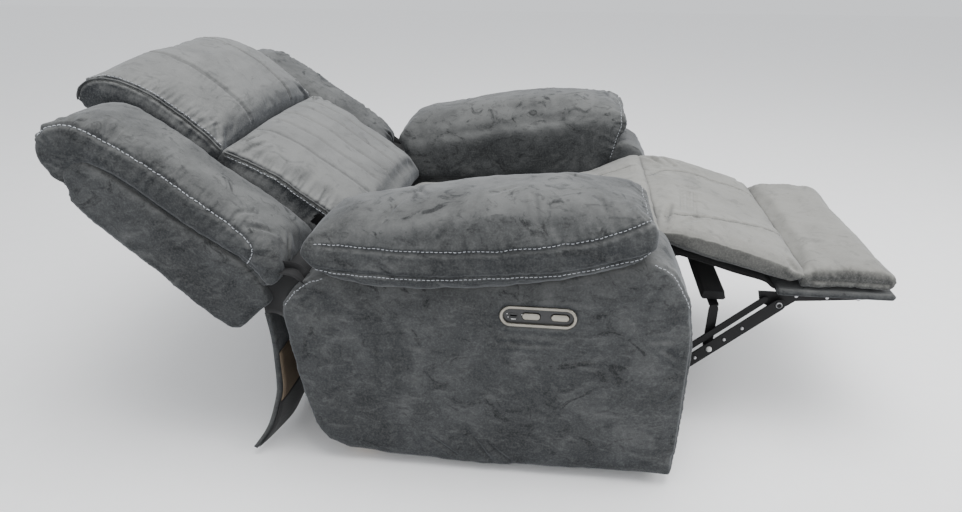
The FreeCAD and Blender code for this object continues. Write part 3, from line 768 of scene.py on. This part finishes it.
def side_panels():
    cover = upholstered("right_side_panel_cover", ARM_SIDE, -500, -290, 0.0085, 4, 0.006, 0.004)
    rumple(cover, 21, 0.0009, ((0.22, 1.0), (0.09, 0.5), (0.035, 0.25)))
    edge = [(318, 100), (333, 180), (346, 260), (354, 345), (348, 374), (325, 405), (294, 430), (252, 444)]
    front = [(-350, 505), (-388, 493), (-416, 466), (-440, 418), (-451, 360), (-453, 260), (-451, 150)]
    front.append((-445, 40))
    rear_seam, front_seam = (
        sew(cover, line_at(-498, run), 0.003, 0.004, gather=0.0012, reach=0.02, ridge=0.001, seed=seed)
        for run, seed in ((edge, 31), (front, 33))
    )
    creases(cover, [((-500, *start), (-500, *stop), depth) for start, stop, depth in ARM_SIDE_FOLDS])
    dent(cover, at(-500, 285, 370), radius=0.035, depth=0.004, seed=2)
    twin = mirrored(cover, "left_side_panel_cover")
    points = coordinates(cover)
    gap = outside_stadium(points, BEZEL_LENGTH, BEZEL_HEIGHT)
    outer = points[:, 0] < -0.47
    hold = np.clip(1 - gap / 0.03, 0, 1) * outer
    points[:, 0] += (-0.4995 - points[:, 0]) * hold
    points[:, 0] -= 0.0022 * np.exp(-(((gap - 0.006) / 0.005) ** 2)) * outer * (gap > 0)
    move_to(cover, points)
    inside = (outside_stadium(points, BEZEL_LENGTH - BEZEL_RIM, BEZEL_HEIGHT - BEZEL_RIM) < 0) & outer
    mesh = bmesh.new()
    mesh.from_mesh(cover.data)
    mesh.verts.ensure_lookup_table()
    bmesh.ops.delete(mesh, geom=[mesh.verts[index] for index in np.nonzero(inside)[0]], context="VERTS")
    mesh.to_mesh(cover.data)
    mesh.free()
    finish_soft(cover, "base", ["right_side_panel"])
    finish_soft(twin, "base", ["left_side_panel"])
    for word, (line, facing), shown in (
        ("rear", rear_seam, slice(90, None)),
        ("front", front_seam, slice(0, 50)),
    ):
        row = stitch_row(f"right_side_{word}_stitches", cover, line[shown], facing[shown], -0.004, "base",
                         radius=0.0007)
        twin_row(row, f"left_side_{word}_stitches", "base")


# ------------------------------------------------------------------ back wings
FRONT_OF_BACK = (0, -0.45, 0.89)
FAR_WING_DEPTH = [(450, 0), (560, 5), (650, 11), (790, 16)]
UNDER_WING = [
    (752, 590), (740, 606), (700, 628), (655, 614), (625, 592), (556, 540), (484, 488), (414, 440),
    (378, 396),
]
WING = [
    (750, 584), (772, 604), (788, 632), (793, 664), (784, 692), (764, 705), (730, 711), (682, 700),
    (628, 669), (565, 625), (509, 581), (452, 541), (410, 511), (366, 475), (338, 448), (330, 424),
    (344, 402), (376, 386), (412, 422), (484, 470), (556, 520), (625, 577), (690, 608), (730, 588),
]

WING_FOLDS = [
    ((-470, 405, 520), (-440, 352, 500), 0.005), ((-470, 420, 545), (-430, 380, 560), 0.004),
    ((-455, 372, 430), (-420, 336, 480), 0.005), ((-440, 355, 440), (-400, 330, 500), 0.004),
    ((-480, 640, 690), (-440, 650, 725), 0.004), ((-480, 720, 716), (-440, 740, 728), 0.004),
    ((-480, 545, 632), (-450, 560, 660), 0.003), ((-480, 770, 700), (-420, 790, 680), 0.004),
]


def back_wings():
    cover = upholstered("right_back_wing_cover", WING, -493, -290, 0.0075, 6, 0.010, 0.001, finer=False)
    refine(crown(cover, FRONT_OF_BACK, -412, 116, [(330, 12), (420, 17), (700, 15), (780, 8)]))
    rumple(cover, 41, 0.0011, ((0.15, 1.0), (0.06, 0.6), (0.026, 0.25)))
    seam = [
        (776, 682), (760, 699), (736, 711), (701, 712), (662, 694), (609, 663), (560, 631), (505, 590),
        (452, 548), (405, 505), (390, 482), (398, 458), (414, 440),
    ]
    path, out = sew(cover, line_at(-489, seam), 0.0045, 0.0045, 0.0045, reach=0.030, ridge=0.0008, seed=43)
    sew(cover, line_at(-489, UNDER_WING), 0.012, 0.010, 0.002, reach=0.02, seed=44, fade=0)
    creases(cover, WING_FOLDS)
    twin = mirrored(cover, "left_back_wing_cover")
    sink(twin, FRONT_OF_BACK, FAR_WING_DEPTH)
    finish_soft(cover, "back", ["right_back_wing"])
    finish_soft(twin, "back", ["left_back_wing"])
    row = stitch_row("right_back_wing_stitches", cover, path, out, 0.0, "back", radius=0.001, lift=0.0012,
                     pitch=0.0095, length=0.0068)
    other = mirrored(row, "left_back_wing_stitches")
    sink(other, FRONT_OF_BACK, FAR_WING_DEPTH)
    assign(other, "back", "upholstery")


# ------------------------------------------------------------------ back cushions
EDGE_X = 279
HEADREST = [
    (517, 603), (527, 613), (556, 645), (604, 687), (661, 726), (722, 751), (764, 758), (800, 752),
    (826, 737), (838, 712), (828, 692), (800, 672), (744, 632), (660, 572), (592, 520), (556, 530),
]
LUMBAR = [
    (527, 616), (505, 608), (466, 590), (404, 559), (364, 529), (301, 486), (242, 442), (212, 404),
    (212, 380), (300, 352), (392, 352), (440, 388), (520, 462), (580, 526), (556, 584),
]


def back_cushions():
    head, lumbar = (
        upholstered(name, outline, -286, 286, 0.0075, 4, 0.010, 0.002, SUEDE_BACK_PAINTED_LIGHT_SHADE, finer=False)
        for name, outline in (("headrest_cover", HEADREST), ("lumbar_cover", LUMBAR))
    )
    for piece, height, seed, weight in ((head, 34, 51, 0.6), (lumbar, 30, 52, 0.5)):
        refine(crown(piece, FRONT_OF_BACK, 0, 281, [(0, height)], 2.4))
        rumple(piece, seed, 0.0010, ((0.2, 1.0), (0.08, weight), (0.03, 0.2)))
    across = [(522, 622), (555, 676), (617, 731), (681, 767), (748, 782), (800, 775), (830, 745)]
    for side, x in (("right", -125), ("left", 125)):
        path, out = sew(head, line_at(x, across), 0.0065, 0.0055, gather=0.0008, ridge=0.0008, seed=50)
        stitch_row(f"headrest_stitches_{side}", head, path, out, 0.004, "back", **FINE_STITCH)
    channel = [(512, 630), (440, 606), (357, 560), (300, 512), (250, 466)]
    for number, x in enumerate((-150, -75, 0, 75, 150)):
        path, out = sew(lumbar, line_at(x, channel), 0.0045, 0.0055, 0.0, seed=60)
        if number == 0:
            stitch_row("lumbar_stitches", lumbar, path, out, 0.004, "back", **FINE_STITCH)
    head_edge = [(527, 610), (556, 643), (604, 683), (661, 722), (722, 748), (764, 754), (796, 748)]
    head_edge += [(822, 730), (830, 708)]
    lumbar_edge = [(521, 606), (466, 585), (404, 556), (364, 524), (318, 490), (300, 474)]
    for piece, word, edge, gather, seed in (
        (head, "headrest", head_edge, 0.0035, 71),
        (lumbar, "lumbar", lumbar_edge, 0.0030, 75),
    ):
        for side, x in (("right", -EDGE_X), ("left", EDGE_X)):
            path, out = sew(
                piece, line_at(x, edge), 0.0045, 0.0045, gather, reach=0.028, ridge=0.0015, seed=seed,
                fade=0.004
            )
            welt(f"{word}_welt_{side}", path + out * 0.0006, "back", 0.0024)
            stitch_row(f"{word}_edge_stitches_{side}", piece, path, out, math.copysign(0.0075, x), "back")
    folds = (
        (lumbar, (255, 512, 606), (190, 505, 618), 0.006),
        (lumbar, (250, 500, 602), (170, 480, 612), 0.005),
        (lumbar, (258, 486, 598), (200, 455, 604), 0.004),
        (head, (262, 535, 630), (235, 560, 655), 0.004),
    )
    for number, side in enumerate((-1, 1)):
        for slot, (piece, start, stop, depth) in enumerate(folds):
            start, stop = (at(side * x, y, z) for x, y, z in (start, stop))
            crease(piece, start, stop, depth, 0.007, slot + number)
    finish_soft(head, "back", ["headrest_cushion"])
    finish_soft(lumbar, "back", ["lumbar_cushion"])


# ------------------------------------------------------------------ outside back
BACK_SIDE = [
    (746, 578), (752, 612), (748, 646), (704, 648), (652, 616), (558, 544), (486, 493), (414, 445),
    (380, 402), (366, 358), (388, 345), (430, 305), (446, 291), (464, 293), (519, 338),
    (592, 407), (664, 472), (714, 520), (750, 562),
]


def outside_back():
    cover = upholstered("outside_back_cover", BACK_SIDE, -487, 487, 0.010, 4, 0, 0.001)
    rumple(cover, 81, 0.0011, ((0.25, 1.0), (0.1, 0.5), (0.04, 0.25)))
    edge = [(752, 574), (716, 528), (662, 476), (590, 409), (517, 339), (464, 294), (448, 292), (430, 306)]
    for x in (-484, 484):
        sew(cover, line_at(x, edge), 0.003, 0.004, gather=0.0012, reach=0.02, seed=83, fade=0.004)
    finish_soft(cover, "back", ["outside_back", "left_back_side", "right_back_side"])


# ------------------------------------------------------------------ seat, chaise and footrest
SEAT = [
    (-350, 346), (222, 346), (236, 350), (232, 358), (206, 366), (0, 378), (-150, 394), (-265, 421),
    (-330, 456), (-366, 472), (-398, 474), (-402, 430), (-386, 372),
]
CHAISE = [
    (-384, 480), (-440, 478), (-500, 466), (-560, 450), (-630, 428), (-684, 404), (-703, 390), (-700, 368),
    (-668, 353), (-600, 372), (-540, 388), (-470, 410), (-404, 432), (-382, 450),
]
CHAISE_FOLDS = [
    ((-250, -405, 478), (-130, -430, 478), 0.006), ((250, -410, 478), (150, -450, 474), 0.006),
    ((262, -440, 470), (160, -480, 468), 0.005), ((-262, -430, 470), (-170, -500, 464), 0.004),
    ((-270, -668, 400), (-240, -650, 412), 0.004), ((-274, -680, 390), (-258, -660, 398), 0.004),
    ((262, -668, 400), (240, -650, 412), 0.004),
]
SEAT_CROWN = [(-400, 8), (-330, 22), (-250, 38), (-100, 45), (60, 47), (200, 42)]


def seat():
    cover = upholstered("seat_cover", SEAT, -286, 286, 0.009, 5, 0, 0.001, SUEDE_LEGS_PAINTED_LIGHTER, False)
    refine(crown(cover, (0, 0, 1), 0, 286, SEAT_CROWN))
    rumple(cover, 91, 0.0014, ((0.22, 1.0), (0.09, 0.6), (0.04, 0.3)))
    run = [(190, 402), (0, 417), (-150, 430), (-265, 452), (-330, 480), (-380, 484)]
    for side, x in (("right", -135), ("left", 135)):
        path, out = sew(cover, line_at(x, run), 0.004, 0.0055, gather=0.0008, seed=92)
        stitch_row(f"seat_stitches_{side}", cover, path, out, 0.004, "base", **FINE_STITCH)
    finish_soft(cover, "base", ["seat_cushion"])


def chaise():
    cover = upholstered("chaise_cover", CHAISE, -284, 284, 0.007, 3, 0.006, 0.001, SUEDE_LEGS_PAINTED_LIGHTER)
    points = coordinates(cover)
    side = np.clip(np.abs(points[:, 0]) / (284 * MM), 0, 1) ** 6
    facing = normals(cover)[:, 2]
    points[:, 2] += side * np.where(facing > 0, -0.010, 0.022) * np.clip(np.abs(facing) * 2, 0, 1)
    move_to(cover, points)
    relax(cover, 6)
    rumple(cover, 95, 0.0012, ((0.2, 1.0), (0.09, 0.7), (0.035, 0.35)))
    heights = [(-404, 482), (-440, 480), (-500, 466), (-560, 450), (-630, 428), (-684, 402)]
    rows = []
    for side, xs in (
        ("right", (-205, -198, -181, -160, -134, -112)),
        ("left", (62, 112, 134, 139, 141, 142)),
    ):
        run = smooth_line([at(x, y, z) for x, (y, z) in zip(xs, heights)])
        path, out = sew(cover, run, 0.0055, 0.0055, gather=0.0014, ridge=0.0010, seed=96)
        for number, gap in ((0, -0.004), (1, 0.004)):
            rows.append((f"chaise_stitches_{side}_{number}", path, out, gap))
    for number, y in enumerate((-462, -477, -492)):
        line = smooth_line([at(x, y - 0.13 * x - 9, 472 - number * 4) for x in np.linspace(-176, -18, 7)])
        sew(cover, line, 0.0042, 0.004, gather=0.0008, reach=0.012, seed=97 + number, fade=0.02)
    creases(cover, CHAISE_FOLDS, 0.008)
    pieces = [cover]
    for name, path, out, gap in rows:
        pieces.append(stitch_row(name, cover, path, out, gap, None, **FINE_STITCH))
    under = [(-415, 420), (-500, 396), (-560, 378), (-618, 362), (-638, 347), (-656, 345)]
    lining = strip("chaise_lining", under, 262, LINING, LINING_THICKNESS, 0.004)
    pieces.append(lining)
    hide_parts("chaise_pad", "seat_front_roll")
    for piece in pieces:
        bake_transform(piece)


def strip(name, run, half, material, thickness, waviness, seed=4, across=60):
    """A thin sheet across the chair along a side view run."""
    line = line_at(0, run, step=0.008)
    xs = np.linspace(-half * MM, half * MM, across)
    vertices = [Vector((x, p[1], p[2])) for p in line for x in xs]
    piece = new_piece(name, vertices, grid_faces(len(line), across), material)
    points = coordinates(piece)
    wave = waves(seed, points, ((0.22, 1.0), (0.09, 0.4)))
    edge = np.clip(1 - np.abs(points[:, 0]) / (half * MM), 0, 0.3) / 0.3
    move_to(piece, points + normals(piece) * (waviness * wave * (0.4 + 0.6 * edge))[:, None] * 0.5)
    return thicken(piece, thickness)


def wrapped(node, outline, low, high, material=LINING):
    """A board or rail with its cover stretched round it."""
    return upholstered(f"{node}_cover", outline, low, high, 0.004, 2, 0, 0.0, material, finer=False)


def footrest():
    outline = [(-684, 357), (-686, 390), (-720, 402), (-790, 405), (-850, 402), (-876, 391)]
    outline += [(-882, 376), (-874, 357)]
    cover = upholstered("footrest_pad_cover", outline, -284, 284, 0.0065, 3, 0.006, 0.001, SUEDE_LEGS_PAINTED_LIGHTER)
    rumple(cover, 101, 0.0010, ((0.2, 1.0), (0.08, 0.6), (0.035, 0.3)))
    rim = [(-700, 374), (-760, 374), (-830, 374), (-868, 372)]
    for seed, x in ((103, -278), (104, 278)):
        sew(cover, line_at(x, rim), 0.0035, 0.006, gather=0.0040, reach=0.016, seed=seed, fade=0.01)
    front = smooth_line([at(x, -878, 366) for x in np.linspace(-270, 270, 12)])
    sew(cover, front, 0.002, 0.005, gather=0.0016, reach=0.014, seed=107)
    finish_soft(cover, "footrest", ["footrest_pad"])
    outline = [(-646, 337), (-646, 352), (-878, 352), (-881, 345), (-876, 337)]
    finish_soft(wrapped("footrest_board", outline, -279, 279, SUEDE), "footrest", ["footrest_board"])
    outline = [(-502, 299), (-506, 316), (-552, 316), (-556, 299), (-550, 295), (-508, 295)]
    finish_soft(wrapped("middle_board", outline, -228, 228), "middle_rest", ["middle_board"], "lining")


def wrapped_rails():
    """The rails that can be seen from the front, wrapped in black lining."""
    for node in ("front_rail", "seat_front_rail"):
        low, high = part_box(node)
        front, back = ((corner[1] - DATUM) / MM for corner in (low, high))
        bottom, top = low[2] / MM, high[2] / MM
        outline = [(front, bottom), (back, bottom), (back, top), (front, top)]
        finish_soft(wrapped(node, outline, low[0] / MM, high[0] / MM), "base", [node], "lining")


# ------------------------------------------------------------------ rear flap and linings
FLAP_HALF, FLAP_BOTTOM, FLARE_TOP = 462, 20, 150


def flare(piece):
    """Pull the rear flap's bottom corners outwards and back."""
    points = coordinates(piece)
    side = np.clip(np.abs(points[:, 0]) / (FLAP_HALF * MM), 0, 1) ** 8
    down = np.clip((FLARE_TOP * MM - points[:, 2]) / ((FLARE_TOP - FLAP_BOTTOM) * MM), 0, 1) ** 1.6
    points[:, 0] += np.sign(points[:, 0]) * 0.040 * side * down
    points[:, 1] += 0.034 * side * down
    move_to(piece, points)


def shade_gusset(name, lower, upper, x):
    """A piece of black lining between a line on the arm and a line on the back, at one side; its black also
    stands in for the shade in that gap.
    """
    rows, columns, bulge = 10, 14, 0.012
    here, there = (line_at(x, run, step=0.0005) for run in (lower, upper))
    vertices = []
    for row in range(rows):
        share = row / (rows - 1)
        for column in range(columns):
            part = column / (columns - 1)
            a = here[int(part * (len(here) - 1))]
            b = there[int(part * (len(there) - 1))]
            point = a + (b - a) * share
            point[0] -= math.copysign(bulge, x) * math.sin(math.pi * share)
            vertices.append(point)
    return thicken(new_piece(name, vertices, grid_faces(rows, columns), LINING), LINING_THICKNESS)


def hang(piece):
    """Bake a hung sheet's placement into its mesh."""
    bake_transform(piece)


def back_shade_linings():
    """Black lining that closes the gap between the arms, the seat and the moving back; its black also
    stands in for the shade seen in these gaps.
    """
    run = [(222, 362), (262, 330), (330, 310), (400, 302), (446, 304)]
    # Black sheet under the back: a dust cover whose black also stands in for the shade there.
    under = strip("back_underside_shade_lining", run, 284, LINING, LINING_THICKNESS, 0.008, seed=17)
    hang(under)
    lower = [(286, 430), (322, 396), (338, 366), (340, 316)]
    upper = [(338, 452), (362, 420), (386, 388), (388, 336)]
    run = [(294, 412), (312, 426), (330, 431), (350, 433), (368, 438)]
    for word, side in (("right", -1), ("left", 1)):
        # Black gussets and rear strips at the arms: lining whose black also stands in for the shade in
        # these gaps.
        piece = shade_gusset(f"{word}_back_gusset", lower, upper, side * 470)
        hang(piece)
        name = f"{word}_arm_rear_shade_lining"
        shade_closing = strip(name, run, 100, LINING, LINING_THICKNESS, 0.002, seed=23, across=26)
        shade_closing.data.transform(Matrix.Translation((side * 388 * MM, 0, 0)))
        hang(shade_closing)


def rear_flap():
    run = [(404, FLAP_BOTTOM), (392, 60), (388, 115), (381, 192), (381, 265), (388, 330)]
    flap = strip("rear_flap_cloth", run, FLAP_HALF, SUEDE, 0.009, 0.006, seed=7)
    card = strip("flap_card", [(383, 100), (376, 160), (374, 232)], 455, CARD, 0.0025, 0.006, seed=7)
    lower = [(y - 8, z + 1) for y, z in run[:3]]
    lining = strip("flap_lining", lower, FLAP_HALF - 1, LINING, 0.0015, 0.006, seed=7)
    for piece in (flap, card, lining):
        flare(piece)
    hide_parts("rear_flap")
    hang(flap)
    assign(card, "base", "card", "flap_board")
    assign(lining, "base", "lining")


# ------------------------------------------------------------------ hand control
STADIUM_POINTS = 72
BUTTON_LENGTH, BUTTON_HEIGHT, BUTTON_EDGE = 34, 14, 5.2


def stadium_ring(length, height):
    """Points round a stadium at the hand control, as (Y, Z) from its centre in millimetres."""
    radius, reach = height / 2, (length - height) / 2
    ring = []
    for index in range(STADIUM_POINTS):
        angle = 2 * math.pi * index / STADIUM_POINTS
        shift = reach if math.cos(angle) >= 0 else -reach
        ring.append((shift + radius * math.cos(angle), radius * math.sin(angle)))
    return ring


def lathe_stadium(name, profile, centre, material, capped):
    """A body swept round a stadium: profile holds (length, height, depth) rings."""
    count, rings = STADIUM_POINTS, len(profile)
    vertices = []
    for length, height, depth in profile:
        for y, z in stadium_ring(length, height):
            vertices.append(at(-500 + depth, centre[0] + y, centre[1] + z))
    faces = ring_faces(rings, count, False)
    if capped:
        faces.append(tuple(range((rings - 1) * count, rings * count))[::-1])
    return new_piece(name, vertices, faces, material)


def hand_control():
    length, height, rim = BEZEL_LENGTH, BEZEL_HEIGHT, BEZEL_RIM
    profile = []
    for step in range(13):
        angle = math.pi * step / 12
        shrink = rim * (1 - math.cos(angle)) / 2
        profile.append((length - 2 * shrink, height - 2 * shrink, -4.2 * math.sin(angle) ** 0.8 + 0.4))
    profile.append((length - 2 * rim, height - 2 * rim, 8.0))
    bezel = lathe_stadium("bezel_ring", profile, (BEZEL_Y, BEZEL_Z), CHAMPAGNE, False)
    assign(bezel, "base", "champagne_metal", "control_bezel")
    wide, tall, edge = BUTTON_LENGTH, BUTTON_HEIGHT, BUTTON_EDGE
    for word, shift in (("open", 13), ("close", -41)):
        rings = [(wide, tall, 7.0)]
        for step in range(8):
            angle = math.pi / 2 * step / 7
            shrink = edge * (1 - math.cos(angle))
            rings.append((wide - shrink, tall - shrink, 1.0 - 2.4 * math.sin(angle)))
        rings += [(wide - edge - 8 * k, tall - edge - 4 * k, -1.4 - 0.25 * k) for k in (0.5, 1.0)]
        button = lathe_stadium(f"{word}_button_cap", rings, (BEZEL_Y + shift, BEZEL_Z), CHAMPAGNE, True)
        assign(button, f"{word}_key", "champagne_metal", f"{word}_button")
    marks = [(30, 2.5, 1.6, 1.6), (58, 3, 1.4, 1.4), (56, -4, 1.4, 1.4), (46, -7.5, 9, 0.9)]
    vertices, faces = [], []
    for y, z, wide, tall in marks:
        first = len(vertices)
        for sy, sz in ((-1, -1), (1, -1), (1, 1), (-1, 1)):
            vertices.append(at(-498.4, BEZEL_Y + y + sy * wide / 2, BEZEL_Z + z + sz * tall / 2))
        faces.append((first, first + 3, first + 2, first + 1))
    dots = new_piece("control_marks", vertices, faces, coated("white marks", (0.8, 0.8, 0.8), 0.5), False)
    thicken(dots, 0.0003)
    assign(dots, "base", "black_plastic")


# ------------------------------------------------------------------ steel details
def dome(name, centre, radius, height, outward, material, body):
    """A rivet head or bush lying on a plate, facing along X."""
    count, rings = 24, 6
    vertices = []
    for ring in range(rings):
        angle = math.pi / 2 * ring / rings
        reach = radius * math.cos(angle) ** 0.6
        for index in range(count):
            turn = 2 * math.pi * index / count
            out = outward * height * math.sin(angle)
            vertices.append(centre + Vector((out, reach * math.cos(turn), reach * math.sin(turn))))
    vertices.append(centre + Vector((outward * height, 0, 0)))
    faces = ring_faces(rings, count, outward > 0)
    last = (rings - 1) * count
    for index in range(count):
        face = (last + index, last + (index + 1) % count, len(vertices) - 1)
        faces.append(face if outward > 0 else face[::-1])
    faces.append(tuple(range(count))[::-1] if outward > 0 else tuple(range(count)))
    assign(new_piece(name, vertices, faces, material), body, "bright_steel")


def steel_details():
    white = coated("white nylon", (0.42, 0.42, 0.41), 0.5)
    knee, middle = (Vector(JOINTS[name]["pos_m"]) for name in ("upper_link_swing", "middle_board_swing"))
    toe = knee + (middle - knee) / 0.42
    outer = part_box("left_upper_link")[1][0]
    link_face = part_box("left_upper_link")[0][0] + 4 * MM
    for word, side in (("left", 1), ("right", -1)):
        for number, share in enumerate((0.0, 0.3, 0.55, 0.7, 1.0)):
            place = knee + (toe - knee) * share
            place.x = side * (outer if share == 0 else link_face)
            radius = 7 * MM if share in (0.0, 1.0) else 3.6 * MM
            dome(f"{word}_link_rivet_{number}", place, radius, 3 * MM, side, ZINC, "upper_links")
        place = middle.copy()
        place.x = side * (link_face + 0.2 * MM)
        dome(f"{word}_middle_bush", place, 6.5 * MM, 5 * MM, side, white, "upper_links")
        for number, y in enumerate((-690, -752, -815)):
            place = at(side * 260, y, 330)
            dome(f"{word}_bracket_rivet_{number}", place, 4 * MM, 2 * MM, side, ZINC, "footrest")


# ------------------------------------------------------------------ stage, light and camera
def stage():
    floor = new_piece(
        "floor",
        [(-9, -9, 0), (9, -9, 0), (9, 9, 0), (-9, 9, 0)],
        [(0, 1, 2, 3)],
        coated("pale floor", (0.95, 0.95, 0.95), 0.9, 60.0, 0.02),
    )
    world = bpy.data.worlds.new("studio")
    bpy.context.scene.world = world
    world.use_nodes = True
    background = world.node_tree.nodes["Background"]
    background.inputs["Color"].default_value = (0.95, 0.97, 1.0, 1.0)
    background.inputs["Strength"].default_value = 0.98
    for name, place, aim, wide, power in (
        ("overhead", (-0.3, -0.4, 3.2), (0, 0, 0.4), 2.4, 105),
        ("near side", (-3.4, 0.6, 1.9), (0, 0.2, 0.35), 1.8, 26),
        ("foot end", (-0.6, -3.2, 2.2), (0, -0.4, 0.4), 1.6, 60),
    ):
        lamp = bpy.data.lights.new(name, "AREA")
        lamp.size = wide
        lamp.energy = power
        lamp_object = bpy.data.objects.new(name, lamp)
        lamp_object.location = place
        lamp_object.rotation_euler = (Vector(aim) - Vector(place)).to_track_quat("-Z", "Y").to_euler()
        bpy.context.scene.collection.objects.link(lamp_object)
    pitch, yaw = math.radians(24.3), math.radians(6.8)
    lens = bpy.data.cameras.new("view")
    lens.lens = 26.87
    lens.sensor_width = 36.0
    camera = bpy.data.objects.new("view", lens)
    camera.location = (-1.672, -0.190 + DATUM, 1.029)
    look = Vector((math.cos(yaw) * math.cos(pitch), math.sin(yaw) * math.cos(pitch), -math.sin(pitch)))
    camera.rotation_euler = look.to_track_quat("-Z", "Y").to_euler()
    bpy.context.scene.collection.objects.link(camera)
    bpy.context.scene.camera = camera


arm_pads()
side_panels()
back_wings()
back_cushions()
outside_back()
seat()
chaise()
footrest()
wrapped_rails()
back_shade_linings()
rear_flap()
hand_control()
steel_details()
stage()
